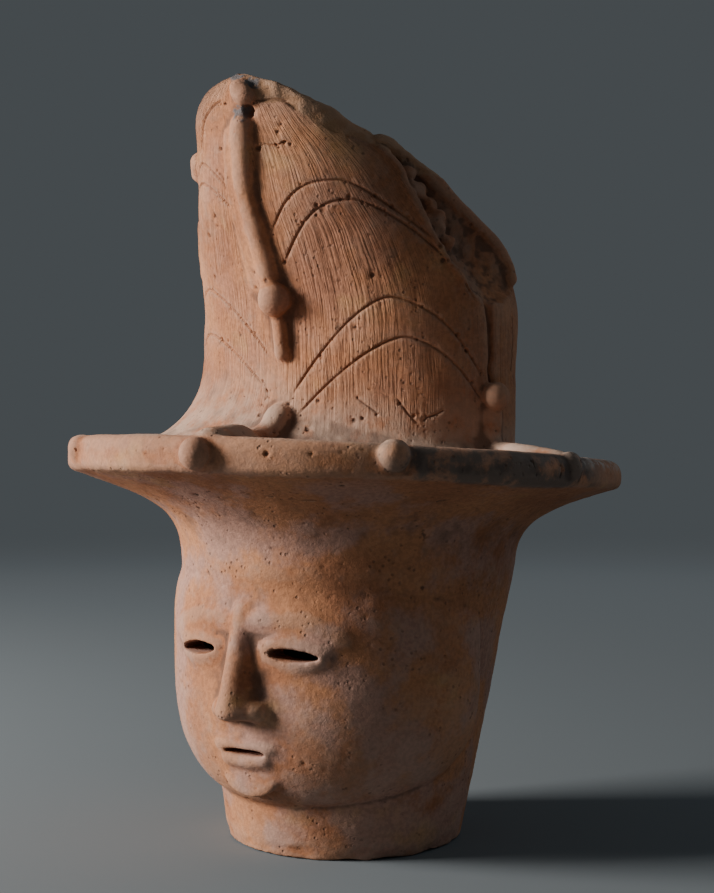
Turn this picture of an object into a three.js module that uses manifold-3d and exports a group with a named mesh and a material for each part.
// A fired-clay haniwa head in a tall, brimmed hat, hollow from the open neck to the hat's tip.
// Millimetres. The face looks along -Y, the figure's left is +X, and it stands on z = 0.
import * as THREE from 'three';
import { ParametricGeometry } from 'three/addons/geometries/ParametricGeometry.js';
import { mergeVertices } from 'three/addons/utils/BufferGeometryUtils.js';
import Module from 'manifold-3d';

const wasm = await Module();
wasm.setup();

// The tube of the neck and head, and the hat's brim
const neckRadius = 66.6;
const headRadius = 95;
const flareHeight = 156;
const tubeLean = 0.02;
const brimRadius = 156.5;
const brimTop = 219;
const brimThickness = 16.5;
const brimTiltX = -0.022;
const brimTiltY = -0.0535;
const underTilt = 0.72;
const wall = 12;

// The hat's crown, as level ellipses: height, half width, half depth, centre x, centre y
const crownTop = 419;
const crownSections = [
  { height: 419, halfWidth: 0, halfDepth: 0, x: -6, y: -88 },
  { height: 410, halfWidth: 28.5, halfDepth: 9, x: -5, y: -84 },
  { height: 400, halfWidth: 44, halfDepth: 20, x: -3, y: -72 },
  { height: 390, halfWidth: 52, halfDepth: 30, x: -1.5, y: -60 },
  { height: 370, halfWidth: 69.5, halfDepth: 56, x: 0, y: -30 },
  { height: 350, halfWidth: 80, halfDepth: 65, x: 0, y: -15 },
  { height: 330, halfWidth: 91, halfDepth: 74, x: 0, y: 2 },
  { height: 300, halfWidth: 98, halfDepth: 73.5, x: 0, y: 12 },
  { height: 262, halfWidth: 99.5, halfDepth: 67.5, x: -1, y: 11 },
  { height: 215, halfWidth: 100, halfDepth: 66, x: -1.5, y: 10.5 },
];
const filletBroad = 50;
const filletTight = 8;
const crownWall = 11;
const crownBackWall = 15;
const seamWall = 9;

// The face is a convex mask of clay on the front of the tube
const mask = {
  chin: 25, widest: 112, top: 178, halfWidth: 94, frontDepth: 85, backDepth: 30, y: -10, chinY: -52,
  squareness: 2.05,
};
const browHeight = 128;
const noseBase = 78;
const eye = { x: 32, height: 114, width: 34, opening: 8.5, tilt: 4 };
const mouth = { height: 60, width: 46, opening: 4.5 };
const nose = { halfWidth: 15, length: 19 };
const brow = { halfWidth: 4, height: 2.6 };

// Rolled and pressed clay on the hat
const pelletRadius = 8.5;
const pellets = [
  { angle: -140, drop: 7 }, { angle: -96, drop: 7, worn: true }, { angle: -64, drop: 7 },
  { angle: -32, drop: 8, worn: true }, { angle: 8, drop: 9.5 }, { angle: 44, drop: 6 },
  { angle: 84, drop: 6, worn: true }, { angle: 133, drop: 7, worn: true }, { angle: 172, drop: 7 },
];
const strap = { halfWidth: 7, height: 6.5 };
const brimStrap = { halfWidth: 8.5, height: 6.5 };
const ballRadius = 9.2;

const radians = (degrees) => THREE.MathUtils.degToRad(degrees);
const mix = THREE.MathUtils.lerp;
const ease = THREE.MathUtils.smoothstep;

// ---- solids from surfaces ----

// A closed mesh as a solid: shared corners merged, slivers at the poles left out, faces outward
function solidOf(geometry) {
  geometry.deleteAttribute('normal');
  geometry.deleteAttribute('uv');
  const merged = mergeVertices(geometry, 1e-4);
  const triangles = [];
  for (let i = 0; i < merged.index.count; i += 3) {
    const [a, b, c] = [0, 1, 2].map((k) => merged.index.getX(i + k));
    if (a !== b && b !== c && c !== a) triangles.push(a, b, c);
  }
  const vertProperties = new Float32Array(merged.attributes.position.array);
  const closed = (corners) => {
    const triVerts = new Uint32Array(corners);
    return new wasm.Manifold(new wasm.Mesh({ numProp: 3, vertProperties, triVerts }));
  };
  const solid = closed(triangles);
  return solid.volume() > 0 ? solid : closed(triangles.reverse());
}

// A solid through a row of loops, closed at both ends. loopPoint(turn, row) gives a point of a
// loop, with turn from 0 to 1 and row from 0 to rows - 1.
function loft(loopPoint, rows, around) {
  const centre = (row) => {
    const sum = new THREE.Vector3();
    for (let i = 0; i < around; i += 1) sum.add(loopPoint(i / around, row));
    return sum.divideScalar(around);
  };
  const ends = [centre(0), centre(rows - 1)];
  const surface = (u, v, target) => {
    const row = Math.round(v * (rows + 1)) - 1;
    const turn = Math.round(u * around) % around / around;
    if (row < 0) target.copy(ends[0]);
    else if (row >= rows) target.copy(ends[1]);
    else target.copy(loopPoint(turn, row));
  };
  return solidOf(new ParametricGeometry(surface, around, rows + 1));
}

// ---- the outer surface ----

function interpolantOf(sections) {
  const places = sections.map((s) => Math.sqrt(crownTop - s.height));
  const values = sections.flatMap((s) => [s.halfWidth, s.halfDepth, s.x, s.y]);
  return new THREE.CubicInterpolant(places, values, 4, new Array(4));
}

const crownShape = interpolantOf(crownSections);

// A point of the crown at an angle from the front, with the surface moved in by an inset
function crownPoint(angle, height, inset = 0) {
  const [halfWidth, halfDepth, x, y] = crownShape.evaluate(Math.sqrt(crownTop - height));
  const across = Math.max(halfWidth - inset, 0);
  const along = Math.max(halfDepth - inset, 0);
  return new THREE.Vector3(x + across * Math.sin(angle), y - along * Math.cos(angle), height);
}

function brimLift(x, y) {
  return brimTiltX * x + brimTiltY * y;
}

// The hollow curve between brim and crown is broad on the figure's right and tight elsewhere
const filletAt = (angle) => mix(filletTight, filletBroad, ease(Math.cos(angle + radians(75)), -0.4, 1));

// Where the crown's wall would meet the brim's top without that curve
function footHeight(angle) {
  const foot = crownPoint(angle, brimTop);
  return brimTop + brimLift(foot.x, foot.y);
}

// A point of the hat's wall, spread outward where it curves into the brim
function hatPoint(angle, height) {
  const size = filletAt(angle);
  const rise = Math.min(Math.max((height - footHeight(angle)) / size, 0), 1);
  return crownPoint(angle, height, -size * (1 - Math.sqrt(1 - (1 - rise) ** 2)));
}

// A place on the curve, from 0 at the brim to 1 at the wall
function filletPoint(angle, part) {
  return hatPoint(angle, footHeight(angle) + filletAt(angle) * (1 - Math.cos(part * Math.PI / 2)));
}

function hatNormal(angle, height) {
  const here = hatPoint(angle, height);
  const side = hatPoint(angle + radians(1), height).sub(here);
  const up = hatPoint(angle, height - 0.5).sub(here);
  return up.cross(side).normalize();
}

// Half of the section of neck, flare and brim, turned about the axis
function profileRows() {
  const outline = new THREE.Path();
  const under = brimTop - brimThickness;
  outline.moveTo(neckRadius, 0);
  outline.lineTo(headRadius, flareHeight);
  outline.bezierCurveTo(
    headRadius + 0.5, flareHeight + 26, headRadius + 17, under - 12.5, brimRadius - 2, under,
  );
  outline.lineTo(brimRadius, under + 2.5);
  outline.lineTo(brimRadius, brimTop - 8);
  outline.quadraticCurveTo(brimRadius, brimTop, brimRadius - 8, brimTop);
  const steps = [2, 7, 1, 1, 2];
  return outline.curves.flatMap((curve, i) => {
    const points = curve.getPoints(steps[i]);
    return i === 0 ? points : points.slice(1);
  });
}

// The tube leans a little to the figure's left on its way up to the brim
function leanAt(height) {
  return tubeLean * height * (1 - ease(height, flareHeight + 29, brimTop - brimThickness));
}

function turnedPoint(angle, radius, height) {
  const x = radius * Math.sin(angle) + leanAt(height);
  const y = -radius * Math.cos(angle);
  const under = brimTop - brimThickness;
  const below = ease(height, flareHeight - 30, under) * underTilt;
  const tilted = mix(below, 1, ease(height, under + 2, brimTop - 6));
  return new THREE.Vector3(x, y, height + tilted * brimLift(x, y));
}

function outerSolid() {
  const around = 44;
  const turned = profileRows();
  const brimRows = 2;
  const filletRows = 3;
  const crownRows = 12;
  const rows = turned.length + brimRows + filletRows + crownRows;
  return loft((turn, row) => {
    const angle = turn * 2 * Math.PI;
    if (row < turned.length) return turnedPoint(angle, turned[row].x, turned[row].y);
    const onBrim = row - turned.length + 1;
    if (onBrim <= brimRows) {
      const edge = turnedPoint(angle, brimRadius - 8, brimTop);
      return edge.lerp(filletPoint(angle, 0), onBrim / brimRows);
    }
    const onFillet = onBrim - brimRows;
    if (onFillet <= filletRows) return filletPoint(angle, onFillet / filletRows);
    const start = Math.sqrt(crownTop - filletPoint(angle, 1).z);
    const left = start * (1 - (onFillet - filletRows) / crownRows);
    return hatPoint(angle, crownTop - left * left);
  }, rows, around);
}

// ---- the hollow ----

function hollowSolid() {
  const around = 22;
  const tubeRows = 4;
  const crownRows = 8;
  const start = 205;
  const end = crownTop - 15;
  return loft((turn, row) => {
    const angle = turn * 2 * Math.PI;
    if (row < tubeRows) {
      const height = mix(-5, 175, row / (tubeRows - 1));
      const radius = mix(neckRadius, headRadius, Math.min(height / flareHeight, 1)) - wall;
      const x = radius * Math.sin(angle) + leanAt(height);
      return new THREE.Vector3(x, -radius * Math.cos(angle), height);
    }
    const part = Math.sin((row - tubeRows) / (crownRows - 1) * Math.PI / 2);
    const point = crownPoint(angle, mix(start, end, part), crownWall);
    point.y -= (crownBackWall - crownWall) * ease(-Math.cos(angle), -0.5, 0.5) * (1 - part * 0.6);
    point.x -= seamWall * Math.sin(angle) * ease(point.z, 270, 315);
    return point;
  }, tubeRows + crownRows, around);
}

// ---- the face ----

// Half width, front and back depth of the mask, and its centre, at a height
function maskSection(height, inset) {
  const bottom = mask.chin + inset;
  const fall = height < mask.widest
    ? (mask.widest - height) / (mask.widest - bottom)
    : (height - mask.widest) / (mask.top - mask.widest);
  const size = Math.pow(Math.max(1 - Math.pow(fall, 3.2), 0), 1 / 2.7);
  return {
    across: (mask.halfWidth - inset) * size,
    front: (mask.frontDepth - inset) * size,
    back: (mask.backDepth - inset) * size,
    y: mix(mask.chinY, mask.y, size),
  };
}

// The mask's own shape; an inset makes the hollow behind it
function maskSolid(inset, around, rows) {
  const bend = 2 / mask.squareness;
  const power = (value) => Math.sign(value) * Math.pow(Math.abs(value), bend);
  return loft((turn, row) => {
    const angle = turn * 2 * Math.PI;
    const rise = (1 - Math.cos(row / (rows - 1) * Math.PI)) / 2;
    const height = mix(mask.chin + inset, mask.top, rise);
    const { across, front, back, y } = maskSection(height, inset);
    const along = power(Math.cos(angle));
    const depth = along > 0 ? front : back;
    return new THREE.Vector3(across * power(Math.sin(angle)), y - depth * along, height);
  }, rows, around);
}

// The mask's front surface above a place on the face
function facePoint(x, height) {
  const { across, front, y } = maskSection(height, 0);
  const aside = Math.pow(Math.abs(x) / across, mask.squareness);
  return new THREE.Vector3(x, y - front * Math.pow(1 - aside, 1 / mask.squareness), height);
}

// The nose is a plain wedge that runs out of the brows
function noseSolid() {
  const rows = 8;
  return loft((turn, row) => {
    const angle = turn * 2 * Math.PI;
    const part = row / (rows - 1);
    const height = mix(noseBase, browHeight + 8, part);
    const foot = facePoint(0, height);
    const round = row === 0 ? 0.72 : 1;
    const across = round * mix(nose.halfWidth, 4.5, Math.pow(part, 0.7));
    const out = round * mix(nose.length, 2, Math.pow(part, 0.85));
    return foot.add(new THREE.Vector3(across * Math.sin(angle), -out * Math.cos(angle), 0));
  }, rows, 12);
}

// One low roll of clay for both brows, dipping where the nose begins
function browSolid() {
  const route = [[-58, -7], [-38, 2], [-15, 2.5], [0, -1], [15, 2.5], [38, 2], [58, -7]]
    .map(([x, rise]) => facePoint(x, browHeight + rise));
  return strapSolid(route, new THREE.Vector3(0, 0, 1), brow.halfWidth, brow.height, 11);
}

// A slit with pointed ends, cut straight back from the face into the hollow
function slitSolid(x, height, width, opening, tilt) {
  const shape = new THREE.Shape();
  shape.moveTo(-width / 2, 0);
  shape.quadraticCurveTo(0, opening, width / 2, 0);
  shape.quadraticCurveTo(0, -opening, -width / 2, 0);
  const geometry = new THREE.ExtrudeGeometry(shape, { depth: 70, bevelEnabled: false, curveSegments: 6 });
  geometry.rotateZ(radians(tilt));
  geometry.rotateX(Math.PI / 2);
  geometry.translate(x, -55, height);
  return solidOf(geometry);
}

// A smooth swelling of clay, as the rim of an eye or the lips
function swelling(x, height, across, out, up) {
  const geometry = new THREE.SphereGeometry(1, 12, 6);
  geometry.rotateX(Math.PI / 2);
  geometry.scale(across, out, up);
  const place = facePoint(x, height);
  geometry.rotateZ(Math.atan2(x, -place.y) * 0.8);
  geometry.translate(place.x, place.y, place.z);
  return solidOf(geometry);
}

// ---- clay applied to the hat ----

// A flattened roll of clay laid along a route, with round ends. side points across the strap.
function strapSolid(route, side, halfWidth, height, step = 8) {
  const curve = new THREE.CatmullRomCurve3(route);
  const length = curve.getLength();
  const rows = Math.max(6, Math.round(length / step));
  return loft((turn, row) => {
    const part = row / (rows - 1);
    const place = mix(part, (1 - Math.cos(part * Math.PI)) / 2, 0.6);
    const toEnd = Math.min(place, 1 - place) * length / halfWidth;
    const size = toEnd < 1 ? Math.sqrt(1 - (1 - toEnd) ** 2) : 1;
    const tangent = curve.getTangentAt(place);
    const out = side.clone().cross(tangent).normalize();
    const angle = turn * 2 * Math.PI;
    return curve.getPointAt(place)
      .addScaledVector(side, halfWidth * size * Math.cos(angle))
      .addScaledVector(out, height * size * Math.sin(angle));
  }, rows, 8);
}

function sideAt(angle) {
  return new THREE.Vector3(Math.cos(angle), Math.sin(angle), 0);
}

// From the brim's edge over its top and up the crown's foot
function brimStrapSolid(degrees, crownDegrees, end) {
  const angle = radians(degrees);
  const crownAngle = radians(crownDegrees);
  const route = [brimRadius - 4, brimRadius - 18, brimRadius - 34].map((r) => turnedPoint(angle, r, brimTop));
  for (const part of [0.05, 0.4, 0.75]) route.push(filletPoint(crownAngle, part));
  const top = filletPoint(crownAngle, 1).z;
  if (end > top + 4) route.push(hatPoint(crownAngle, mix(top, end, 0.5)));
  route.push(hatPoint(crownAngle, end));
  return strapSolid(route, sideAt(crownAngle), brimStrap.halfWidth, brimStrap.height);
}

function ballSolid(centre, radius) {
  const geometry = new THREE.SphereGeometry(radius, 8, 6);
  geometry.translate(centre.x, centre.y, centre.z);
  return solidOf(geometry);
}

// The strap down the front of the crown ends in a ball and a narrower tail
function crownStrapSolids() {
  const at = (degrees, height) => hatPoint(radians(degrees), height);
  const route = [[2, 407], [0, 396], [-3, 378], [-4.5, 358], [-3, 337], [-2, 319], [-1.5, 304]]
    .map(([degrees, height]) => at(degrees, height));
  const tail = [at(-1.5, 302), at(-1, 286), at(-0.5, 267)];
  const side = sideAt(0);
  const ball = at(-1.5, 301).addScaledVector(hatNormal(0, 301), 3);
  return [
    strapSolid(route.reverse(), side, strap.halfWidth, strap.height),
    strapSolid(tail.reverse(), side, strap.halfWidth * 0.75, strap.height * 0.85),
    ballSolid(ball, ballRadius),
  ];
}

// What is left of the strap on the figure's right: a drop of clay and a thin strip under it
function rightStrapSolids() {
  const at = (height) => hatPoint(radians(-64), height);
  const strip = [at(320), at(336), at(352)];
  const drop = [at(371), at(378), at(386)];
  const side = sideAt(radians(-64));
  return [strapSolid(strip, side, 5, 1.5), strapSolid(drop, side, 6, 5.5)];
}

// ---- cuts in the clay ----

// A V-shaped line pressed into the crown along a route of places given by angle and height
function grooveSolid(placeAt, rows, halfWidth, depth) {
  const proud = 1.2;
  return loft((turn, row) => {
    const part = row / (rows - 1);
    const near = 0.01;
    const here = placeAt(part);
    const point = hatPoint(here.angle, here.height);
    const out = hatNormal(here.angle, here.height);
    const after = placeAt(part + near);
    const before = placeAt(part - near);
    const tangent = hatPoint(after.angle, after.height).sub(hatPoint(before.angle, before.height));
    const side = tangent.normalize().cross(out);
    const corner = Math.round(turn * 3);
    if (corner === 0) return point.addScaledVector(out, -depth);
    const reach = halfWidth * (depth + proud) / depth * (corner === 1 ? 1 : -1);
    return point.addScaledVector(out, proud).addScaledVector(side, reach);
  }, rows, 3);
}

const archBend = 1.75;
const archLean = 1.5;

// An arch between two straps: it rises from its foot by the front strap and falls to the seam
function archPlace(arch) {
  const crest = (arch.start + arch.end) / 2 + Math.sign(arch.end) * archLean;
  return (part) => {
    const degrees = mix(arch.start, arch.end, part);
    const toFoot = (degrees - crest) / ((part < 0.5 ? arch.start : arch.end) - crest);
    const drop = part < 0.5 ? arch.crest - arch.startHeight : arch.crest - arch.endHeight;
    return { angle: radians(degrees), height: arch.crest - drop * Math.pow(Math.abs(toFoot), archBend) };
  };
}

// Two pairs of arches in each front quarter of the crown, and the top arches beside the strap
const arches = [
  { start: 2.5, end: 73, crest: 360, startHeight: 321, endHeight: 305 },
  { start: 4.5, end: 73, crest: 350, startHeight: 318, endHeight: 297 },
  { start: 3, end: 75, crest: 300, startHeight: 248, endHeight: 258 },
  { start: 5.5, end: 75, crest: 279, startHeight: 238, endHeight: 244 },
  { start: -8, end: -73, crest: 377, startHeight: 352, endHeight: 330 },
  { start: -8, end: -73, crest: 367, startHeight: 343, endHeight: 318 },
  { start: -5, end: -75, crest: 311, startHeight: 270, endHeight: 270 },
  { start: -8, end: -75, crest: 286, startHeight: 254, endHeight: 252 },
];
const archGroove = { halfWidth: 1.2, depth: 1.6 };

// The seams between the crown's front and back sheets: angle, height, half width and depth
const leftSeam = [
  { angle: 80, height: 248, halfWidth: 2.2, depth: 3.5 },
  { angle: 80, height: 275, halfWidth: 2.4, depth: 4 },
  { angle: 79, height: 298, halfWidth: 3.5, depth: 5 },
  { angle: 78, height: 308, halfWidth: 4, depth: 6 },
];
const rightSeam = [
  { angle: -82, height: 250, halfWidth: 2.2, depth: 3.5 },
  { angle: -82, height: 285, halfWidth: 2.6, depth: 4 },
  { angle: -82, height: 310, halfWidth: 4, depth: 5 },
];
// Where the back sheet has shrunk away it leaves a slit right through
const leftSlit = [
  { angle: 78, height: 330, halfWidth: 1.5, depth: 14 },
  { angle: 78, height: 338, halfWidth: 2.6, depth: 26 },
  { angle: 80, height: 349, halfWidth: 2.6, depth: 26 },
  { angle: 81, height: 358, halfWidth: 1.2, depth: 12 },
];

// Above each seam the sheets part round a hollow: height, its front and back angle, its depth
const leftHollow = [
  { height: 377, front: 76, back: 86, depth: 3 },
  { height: 368, front: 73, back: 92, depth: 9 },
  { height: 356, front: 69, back: 97, depth: 12 },
  { height: 343, front: 66, back: 101, depth: 13 },
  { height: 331, front: 64, back: 104, depth: 13 },
  { height: 319, front: 65.5, back: 105, depth: 12 },
  { height: 307, front: 71, back: 101, depth: 8 },
  { height: 299, front: 76, back: 90, depth: 4 },
];
const rightHollow = [
  { height: 374, front: -78, back: -86, depth: 3 },
  { height: 362, front: -75, back: -92, depth: 6 },
  { height: 345, front: -72, back: -96, depth: 8 },
  { height: 328, front: -71, back: -97, depth: 8 },
  { height: 314, front: -74, back: -94, depth: 6 },
  { height: 304, front: -78, back: -88, depth: 3 },
];

// The hollow falls steeply behind the front sheet and rises gently to the back one
const hollowFloor = [[0, 0], [0.07, 0.6], [0.22, 0.9], [0.48, 1], [0.72, 0.72], [0.9, 0.34], [1, 0]];

function sheetHollowSolid(hollow) {
  const proud = 4;
  const steps = hollowFloor.length;
  const around = steps * 2;
  return loft((turn, row) => {
    const { height, front, back, depth } = hollow[row];
    const step = Math.round(turn * around);
    const onFloor = step < steps;
    const [part, fall] = hollowFloor[onFloor ? step : around - 1 - step];
    const angle = radians(mix(front, back, part));
    const out = hatNormal(angle, height);
    return hatPoint(angle, height).addScaledVector(out, onFloor ? -depth * fall : proud);
  }, hollow.length, around);
}

// A rounded groove along a seam
function seamSolid(seam) {
  const keys = seam.map((place, i) => i);
  const values = seam.flatMap((place) => [radians(place.angle), place.height, place.halfWidth, place.depth]);
  const route = new THREE.CubicInterpolant(keys, values, 4, new Array(4));
  const rows = seam.length * 2 - 1;
  return loft((turn, row) => {
    const [angle, height, halfWidth, depth] = route.evaluate(row / 2);
    const out = hatNormal(angle, height);
    const side = sideAt(angle);
    const around = turn * 2 * Math.PI;
    return hatPoint(angle, height)
      .addScaledVector(side, halfWidth * Math.cos(around))
      .addScaledVector(out, depth * Math.sin(around));
  }, rows, 8);
}

// A rough lump, for clay left in the hollow and, as a cut, for a chipped edge
function lumpSolid(centre, size, turn) {
  const geometry = new THREE.IcosahedronGeometry(1, 1);
  geometry.scale(size.x, size.y, size.z);
  geometry.rotateZ(turn);
  geometry.translate(centre.x, centre.y, centre.z);
  return solidOf(geometry);
}

// The piece broken out of the neck's lower edge
const rimChip = { x: -30, y: -63, z: -2, size: { x: 14, y: 8, z: 15 }, turn: 0.45 };

// ---- the whole piece ----

function addedClay() {
  const balls = pellets.map(({ angle, drop, worn }) => {
    const place = turnedPoint(radians(angle), brimRadius + (worn ? -3 : 1), brimTop);
    place.z -= drop;
    return ballSolid(place, pelletRadius * (worn ? 0.85 : 1));
  });
  const sideBall = hatPoint(radians(80.5), 248).addScaledVector(hatNormal(radians(80.5), 248), 3);
  return [
    maskSolid(0, 28, 12),
    noseSolid(),
    browSolid(),
    swelling(eye.x, eye.height, 21, 3, 8.5),
    swelling(-eye.x, eye.height, 21, 3, 8.5),
    swelling(0, mouth.height, 27, 5, 7.5),
    ...crownStrapSolids(),
    ...rightStrapSolids(),
    brimStrapSolid(8, -1, 244),
    brimStrapSolid(84, 80.5, 246),
    brimStrapSolid(172, 174, 246),
    ballSolid(sideBall, ballRadius * 0.85),
    ...balls,
  ];
}

function removedClay() {
  const strapHole = hatPoint(radians(9), 403);
  return [
    hollowSolid(),
    maskSolid(wall, 18, 9),
    slitSolid(eye.x, eye.height, eye.width, eye.opening, -eye.tilt),
    slitSolid(-eye.x, eye.height, eye.width, eye.opening, eye.tilt),
    slitSolid(0, mouth.height, mouth.width, mouth.opening, 0),
    sheetHollowSolid(leftHollow),
    sheetHollowSolid(rightHollow),
    seamSolid(leftSeam),
    seamSolid(rightSeam),
    seamSolid(leftSlit),
    lumpSolid(strapHole, { x: 3.2, y: 6, z: 4.5 }, 0),
    lumpSolid(new THREE.Vector3(rimChip.x, rimChip.y, rimChip.z), rimChip.size, rimChip.turn),
    ...arches.map((arch) => grooveSolid(archPlace(arch), 12, archGroove.halfWidth, archGroove.depth)),
  ];
}

function headSolid() {
  const lumps = [
    lumpSolid(crownPoint(radians(75), 356, 9), { x: 8, y: 7, z: 7 }, 0.4),
    lumpSolid(crownPoint(radians(72), 341, 10), { x: 8, y: 9, z: 7 }, 0.9),
  ];
  const whole = addedClay().reduce((sum, part) => sum.add(part), outerSolid());
  const cut = removedClay().reduce((rest, part) => rest.subtract(part), whole);
  return lumps.reduce((sum, part) => sum.add(part), cut);
}

function meshOf(solid, name, material) {
  const { vertProperties, triVerts } = solid.getMesh();
  const geometry = new THREE.BufferGeometry();
  geometry.setAttribute('position', new THREE.BufferAttribute(vertProperties, 3));
  geometry.setIndex(new THREE.BufferAttribute(triVerts, 1));
  geometry.computeVertexNormals();
  const mesh = new THREE.Mesh(geometry, material);
  mesh.name = name;
  return mesh;
}

const firedClay = new THREE.MeshStandardMaterial({ color: 0xb67b58, roughness: 0.9, metalness: 0 });
const figure = new THREE.Group();
figure.add(meshOf(headSolid(), 'haniwa_head', firedClay));

export default figure;
